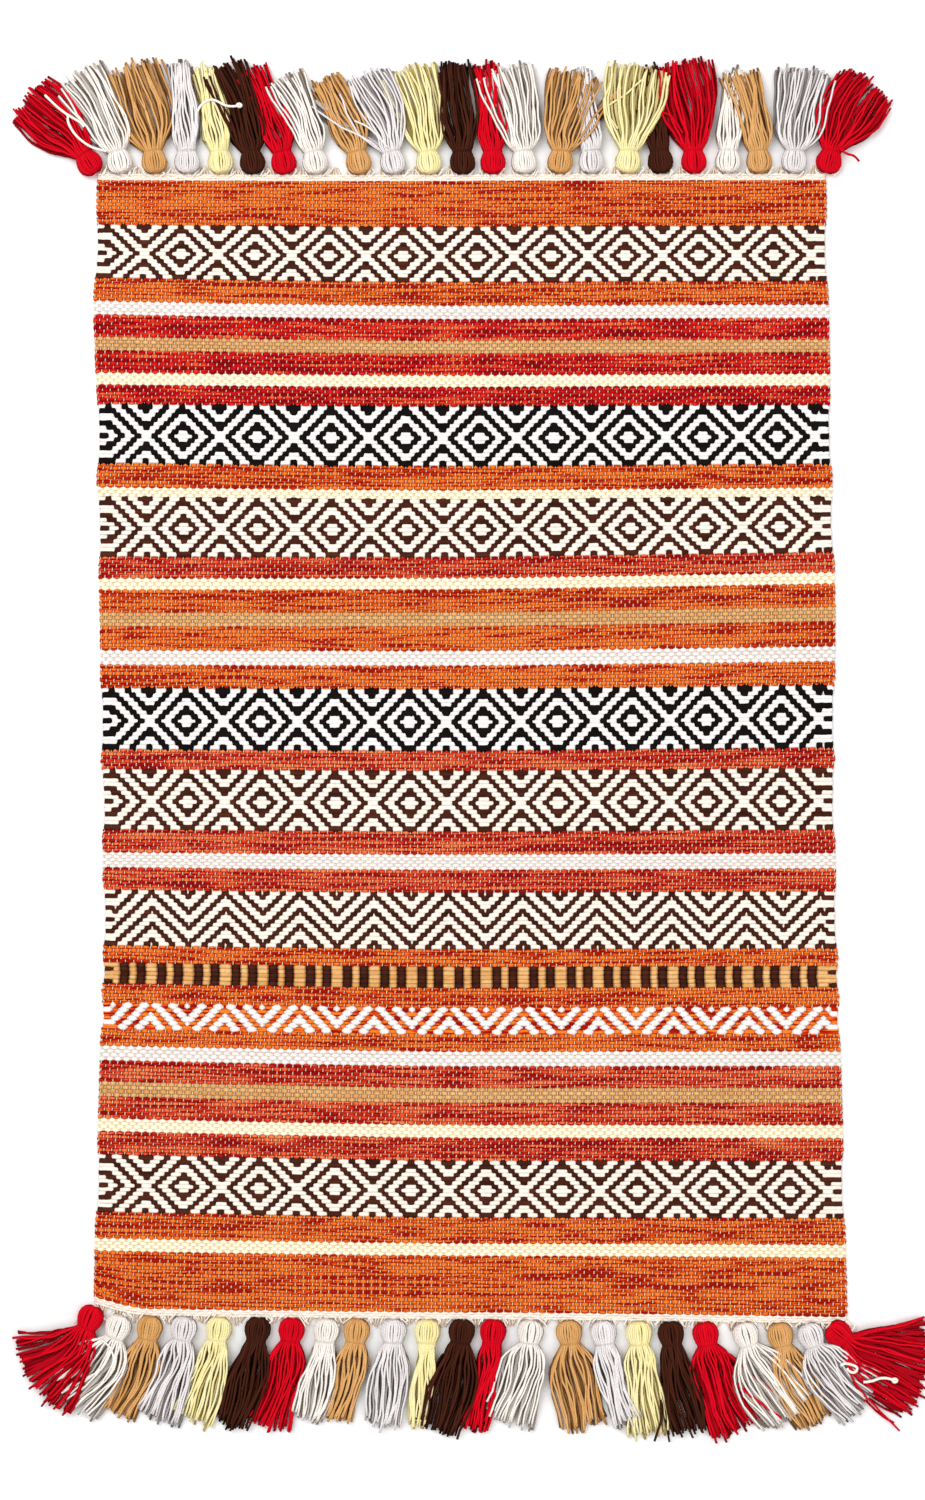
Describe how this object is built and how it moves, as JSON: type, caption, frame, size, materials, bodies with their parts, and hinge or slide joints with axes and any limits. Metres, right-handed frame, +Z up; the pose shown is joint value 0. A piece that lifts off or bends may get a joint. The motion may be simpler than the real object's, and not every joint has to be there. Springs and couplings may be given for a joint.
{
  "type": "tasselled flat-woven rug",
  "caption": "Small flat-woven cotton runner rug with banded twill motifs and a row of hinged yarn tassels along each short end.",
  "frame": {"origin": "on the floor, under the middle of the rug's bounding box", "axes": "+Z up from the floor, +Y along the rug's length towards its far end, +X across it to the right"},
  "size_m": [0.738, 1.1186, 0.0109],
  "materials": {
    "cloth_orange": "space-dyed orange and brick-red cotton weft, matt",
    "warp_cream": "bare cream cotton warp, matt",
    "yarn_red": "two-ply red cotton yarn, matt",
    "yarn_white": "two-ply off-white cotton yarn, matt",
    "yarn_tan": "two-ply tan cotton yarn, matt",
    "yarn_grey": "two-ply pale grey cotton yarn, matt",
    "yarn_yellow": "two-ply pale yellow cotton yarn, matt",
    "yarn_brown": "two-ply dark brown cotton yarn, matt"
  },
  "bodies": {
    "near_half": {"cloth_near": "cloth_orange", "hem_near": "warp_cream"},
    "fold_strip": {"cloth_fold_strip": "cloth_orange"},
    "far_half": {"cloth_far": "cloth_orange", "hem_far": "warp_cream"},
    "tassel_far_01": {"tassel_far_01": "yarn_red"},
    "tassel_far_02": {"tassel_far_02": "yarn_white"},
    "tassel_far_03": {"tassel_far_03": "yarn_tan"},
    "tassel_far_04": {"tassel_far_04": "yarn_grey"},
    "tassel_far_05": {"tassel_far_05": "yarn_yellow"},
    "tassel_far_06": {"tassel_far_06": "yarn_brown"},
    "tassel_far_07": {"tassel_far_07": "yarn_red"},
    "tassel_far_08": {"tassel_far_08": "yarn_white"},
    "tassel_far_09": {"tassel_far_09": "yarn_tan"},
    "tassel_far_10": {"tassel_far_10": "yarn_grey"},
    "tassel_far_11": {"tassel_far_11": "yarn_yellow"},
    "tassel_far_12": {"tassel_far_12": "yarn_brown"},
    "tassel_far_13": {"tassel_far_13": "yarn_red"},
    "tassel_far_14": {"tassel_far_14": "yarn_white"},
    "tassel_far_15": {"tassel_far_15": "yarn_tan"},
    "tassel_far_16": {"tassel_far_16": "yarn_grey"},
    "tassel_far_17": {"tassel_far_17": "yarn_yellow"},
    "tassel_far_18": {"tassel_far_18": "yarn_brown"},
    "tassel_far_19": {"tassel_far_19": "yarn_red"},
    "tassel_far_20": {"tassel_far_20": "yarn_white"},
    "tassel_far_21": {"tassel_far_21": "yarn_tan"},
    "tassel_far_22": {"tassel_far_22": "yarn_grey"},
    "tassel_far_23": {"tassel_far_23": "yarn_red"},
    "tassel_near_01": {"tassel_near_01": "yarn_red"},
    "tassel_near_02": {"tassel_near_02": "yarn_white"},
    "tassel_near_03": {"tassel_near_03": "yarn_tan"},
    "tassel_near_04": {"tassel_near_04": "yarn_grey"},
    "tassel_near_05": {"tassel_near_05": "yarn_yellow"},
    "tassel_near_06": {"tassel_near_06": "yarn_brown"},
    "tassel_near_07": {"tassel_near_07": "yarn_red"},
    "tassel_near_08": {"tassel_near_08": "yarn_white"},
    "tassel_near_09": {"tassel_near_09": "yarn_tan"},
    "tassel_near_10": {"tassel_near_10": "yarn_grey"},
    "tassel_near_11": {"tassel_near_11": "yarn_yellow"},
    "tassel_near_12": {"tassel_near_12": "yarn_brown"},
    "tassel_near_13": {"tassel_near_13": "yarn_red"},
    "tassel_near_14": {"tassel_near_14": "yarn_white"},
    "tassel_near_15": {"tassel_near_15": "yarn_tan"},
    "tassel_near_16": {"tassel_near_16": "yarn_grey"},
    "tassel_near_17": {"tassel_near_17": "yarn_yellow"},
    "tassel_near_18": {"tassel_near_18": "yarn_brown"},
    "tassel_near_19": {"tassel_near_19": "yarn_red"},
    "tassel_near_20": {"tassel_near_20": "yarn_white"},
    "tassel_near_21": {"tassel_near_21": "yarn_tan"},
    "tassel_near_22": {"tassel_near_22": "yarn_grey"},
    "tassel_near_23": {"tassel_near_23": "yarn_red"}
  },
  "joints": [
    {"name": "fold_over", "type": "hinge", "parent": "near_half", "child": "fold_strip", "pos_m": [0, -0.01031, 0.004], "axis": [-1, 0, 0], "range_deg": [-90, 0]},
    {"name": "fold_over_far_side", "type": "hinge", "parent": "fold_strip", "child": "far_half", "pos_m": [0, 0.00768, 0.004], "axis": [-1, 0, 0], "range_deg": [-90, 0]},
    {"name": "tassel_far_01_lift", "type": "hinge", "parent": "far_half", "child": "tassel_far_01", "pos_m": [-0.30315, 0.46464, 0.0055], "axis": [1, 0, 0], "range_deg": [0, 130]},
    {"name": "tassel_far_02_lift", "type": "hinge", "parent": "far_half", "child": "tassel_far_02", "pos_m": [-0.28115, 0.46464, 0.0055], "axis": [1, 0, 0], "range_deg": [0, 130]},
    {"name": "tassel_far_03_lift", "type": "hinge", "parent": "far_half", "child": "tassel_far_03", "pos_m": [-0.25315, 0.46464, 0.0055], "axis": [1, 0, 0], "range_deg": [0, 130]},
    {"name": "tassel_far_04_lift", "type": "hinge", "parent": "far_half", "child": "tassel_far_04", "pos_m": [-0.22715, 0.46464, 0.0055], "axis": [1, 0, 0], "range_deg": [0, 130]},
    {"name": "tassel_far_05_lift", "type": "hinge", "parent": "far_half", "child": "tassel_far_05", "pos_m": [-0.19915, 0.46464, 0.0055], "axis": [1, 0, 0], "range_deg": [0, 130]},
    {"name": "tassel_far_06_lift", "type": "hinge", "parent": "far_half", "child": "tassel_far_06", "pos_m": [-0.17215, 0.46464, 0.0055], "axis": [1, 0, 0], "range_deg": [0, 130]},
    {"name": "tassel_far_07_lift", "type": "hinge", "parent": "far_half", "child": "tassel_far_07", "pos_m": [-0.14615, 0.46464, 0.0055], "axis": [1, 0, 0], "range_deg": [0, 130]},
    {"name": "tassel_far_08_lift", "type": "hinge", "parent": "far_half", "child": "tassel_far_08", "pos_m": [-0.12015, 0.46464, 0.0055], "axis": [1, 0, 0], "range_deg": [0, 130]},
    {"name": "tassel_far_09_lift", "type": "hinge", "parent": "far_half", "child": "tassel_far_09", "pos_m": [-0.08415, 0.46464, 0.0055], "axis": [1, 0, 0], "range_deg": [0, 130]},
    {"name": "tassel_far_10_lift", "type": "hinge", "parent": "far_half", "child": "tassel_far_10", "pos_m": [-0.05615, 0.46464, 0.0055], "axis": [1, 0, 0], "range_deg": [0, 130]},
    {"name": "tassel_far_11_lift", "type": "hinge", "parent": "far_half", "child": "tassel_far_11", "pos_m": [-0.02715, 0.46464, 0.0055], "axis": [1, 0, 0], "range_deg": [0, 130]},
    {"name": "tassel_far_12_lift", "type": "hinge", "parent": "far_half", "child": "tassel_far_12", "pos_m": [-0.00015, 0.46464, 0.0055], "axis": [1, 0, 0], "range_deg": [0, 130]},
    {"name": "tassel_far_13_lift", "type": "hinge", "parent": "far_half", "child": "tassel_far_13", "pos_m": [0.02485, 0.46464, 0.0055], "axis": [1, 0, 0], "range_deg": [0, 130]},
    {"name": "tassel_far_14_lift", "type": "hinge", "parent": "far_half", "child": "tassel_far_14", "pos_m": [0.05085, 0.46464, 0.0055], "axis": [1, 0, 0], "range_deg": [0, 130]},
    {"name": "tassel_far_15_lift", "type": "hinge", "parent": "far_half", "child": "tassel_far_15", "pos_m": [0.07885, 0.46464, 0.0055], "axis": [1, 0, 0], "range_deg": [0, 130]},
    {"name": "tassel_far_16_lift", "type": "hinge", "parent": "far_half", "child": "tassel_far_16", "pos_m": [0.10585, 0.46464, 0.0055], "axis": [1, 0, 0], "range_deg": [0, 130]},
    {"name": "tassel_far_17_lift", "type": "hinge", "parent": "far_half", "child": "tassel_far_17", "pos_m": [0.13485, 0.46464, 0.0055], "axis": [1, 0, 0], "range_deg": [0, 130]},
    {"name": "tassel_far_18_lift", "type": "hinge", "parent": "far_half", "child": "tassel_far_18", "pos_m": [0.16285, 0.46464, 0.0055], "axis": [1, 0, 0], "range_deg": [0, 130]},
    {"name": "tassel_far_19_lift", "type": "hinge", "parent": "far_half", "child": "tassel_far_19", "pos_m": [0.18985, 0.46464, 0.0055], "axis": [1, 0, 0], "range_deg": [0, 130]},
    {"name": "tassel_far_20_lift", "type": "hinge", "parent": "far_half", "child": "tassel_far_20", "pos_m": [0.21685, 0.46464, 0.0055], "axis": [1, 0, 0], "range_deg": [0, 130]},
    {"name": "tassel_far_21_lift", "type": "hinge", "parent": "far_half", "child": "tassel_far_21", "pos_m": [0.24385, 0.46464, 0.0055], "axis": [1, 0, 0], "range_deg": [0, 130]},
    {"name": "tassel_far_22_lift", "type": "hinge", "parent": "far_half", "child": "tassel_far_22", "pos_m": [0.27085, 0.46464, 0.0055], "axis": [1, 0, 0], "range_deg": [0, 130]},
    {"name": "tassel_far_23_lift", "type": "hinge", "parent": "far_half", "child": "tassel_far_23", "pos_m": [0.29785, 0.46464, 0.0055], "axis": [1, 0, 0], "range_deg": [0, 130]},
    {"name": "tassel_near_01_lift", "type": "hinge", "parent": "near_half", "child": "tassel_near_01", "pos_m": [-0.30215, -0.46726, 0.0055], "axis": [-1, 0, 0], "range_deg": [0, 130]},
    {"name": "tassel_near_02_lift", "type": "hinge", "parent": "near_half", "child": "tassel_near_02", "pos_m": [-0.28015, -0.46726, 0.0055], "axis": [-1, 0, 0], "range_deg": [0, 130]},
    {"name": "tassel_near_03_lift", "type": "hinge", "parent": "near_half", "child": "tassel_near_03", "pos_m": [-0.25315, -0.46726, 0.0055], "axis": [-1, 0, 0], "range_deg": [0, 130]},
    {"name": "tassel_near_04_lift", "type": "hinge", "parent": "near_half", "child": "tassel_near_04", "pos_m": [-0.22615, -0.46726, 0.0055], "axis": [-1, 0, 0], "range_deg": [0, 130]},
    {"name": "tassel_near_05_lift", "type": "hinge", "parent": "near_half", "child": "tassel_near_05", "pos_m": [-0.19815, -0.46726, 0.0055], "axis": [-1, 0, 0], "range_deg": [0, 130]},
    {"name": "tassel_near_06_lift", "type": "hinge", "parent": "near_half", "child": "tassel_near_06", "pos_m": [-0.16715, -0.46726, 0.0055], "axis": [-1, 0, 0], "range_deg": [0, 130]},
    {"name": "tassel_near_07_lift", "type": "hinge", "parent": "near_half", "child": "tassel_near_07", "pos_m": [-0.14015, -0.46726, 0.0055], "axis": [-1, 0, 0], "range_deg": [0, 130]},
    {"name": "tassel_near_08_lift", "type": "hinge", "parent": "near_half", "child": "tassel_near_08", "pos_m": [-0.11215, -0.46726, 0.0055], "axis": [-1, 0, 0], "range_deg": [0, 130]},
    {"name": "tassel_near_09_lift", "type": "hinge", "parent": "near_half", "child": "tassel_near_09", "pos_m": [-0.08815, -0.46726, 0.0055], "axis": [-1, 0, 0], "range_deg": [0, 130]},
    {"name": "tassel_near_10_lift", "type": "hinge", "parent": "near_half", "child": "tassel_near_10", "pos_m": [-0.05915, -0.46726, 0.0055], "axis": [-1, 0, 0], "range_deg": [0, 130]},
    {"name": "tassel_near_11_lift", "type": "hinge", "parent": "near_half", "child": "tassel_near_11", "pos_m": [-0.03215, -0.46726, 0.0055], "axis": [-1, 0, 0], "range_deg": [0, 130]},
    {"name": "tassel_near_12_lift", "type": "hinge", "parent": "near_half", "child": "tassel_near_12", "pos_m": [-0.00415, -0.46726, 0.0055], "axis": [-1, 0, 0], "range_deg": [0, 130]},
    {"name": "tassel_near_13_lift", "type": "hinge", "parent": "near_half", "child": "tassel_near_13", "pos_m": [0.02085, -0.46726, 0.0055], "axis": [-1, 0, 0], "range_deg": [0, 130]},
    {"name": "tassel_near_14_lift", "type": "hinge", "parent": "near_half", "child": "tassel_near_14", "pos_m": [0.05085, -0.46726, 0.0055], "axis": [-1, 0, 0], "range_deg": [0, 130]},
    {"name": "tassel_near_15_lift", "type": "hinge", "parent": "near_half", "child": "tassel_near_15", "pos_m": [0.07985, -0.46726, 0.0055], "axis": [-1, 0, 0], "range_deg": [0, 130]},
    {"name": "tassel_near_16_lift", "type": "hinge", "parent": "near_half", "child": "tassel_near_16", "pos_m": [0.10685, -0.46726, 0.0055], "axis": [-1, 0, 0], "range_deg": [0, 130]},
    {"name": "tassel_near_17_lift", "type": "hinge", "parent": "near_half", "child": "tassel_near_17", "pos_m": [0.13585, -0.46726, 0.0055], "axis": [-1, 0, 0], "range_deg": [0, 130]},
    {"name": "tassel_near_18_lift", "type": "hinge", "parent": "near_half", "child": "tassel_near_18", "pos_m": [0.16085, -0.46726, 0.0055], "axis": [-1, 0, 0], "range_deg": [0, 130]},
    {"name": "tassel_near_19_lift", "type": "hinge", "parent": "near_half", "child": "tassel_near_19", "pos_m": [0.18785, -0.46726, 0.0055], "axis": [-1, 0, 0], "range_deg": [0, 130]},
    {"name": "tassel_near_20_lift", "type": "hinge", "parent": "near_half", "child": "tassel_near_20", "pos_m": [0.21885, -0.46726, 0.0055], "axis": [-1, 0, 0], "range_deg": [0, 130]},
    {"name": "tassel_near_21_lift", "type": "hinge", "parent": "near_half", "child": "tassel_near_21", "pos_m": [0.24685, -0.46726, 0.0055], "axis": [-1, 0, 0], "range_deg": [0, 130]},
    {"name": "tassel_near_22_lift", "type": "hinge", "parent": "near_half", "child": "tassel_near_22", "pos_m": [0.27385, -0.46726, 0.0055], "axis": [-1, 0, 0], "range_deg": [0, 130]},
    {"name": "tassel_near_23_lift", "type": "hinge", "parent": "near_half", "child": "tassel_near_23", "pos_m": [0.29685, -0.46726, 0.0055], "axis": [-1, 0, 0], "range_deg": [0, 130]}
  ],
  "couplings": [
    {"joint": "fold_over_far_side", "follows": "fold_over", "ratio": 1}
  ]
}
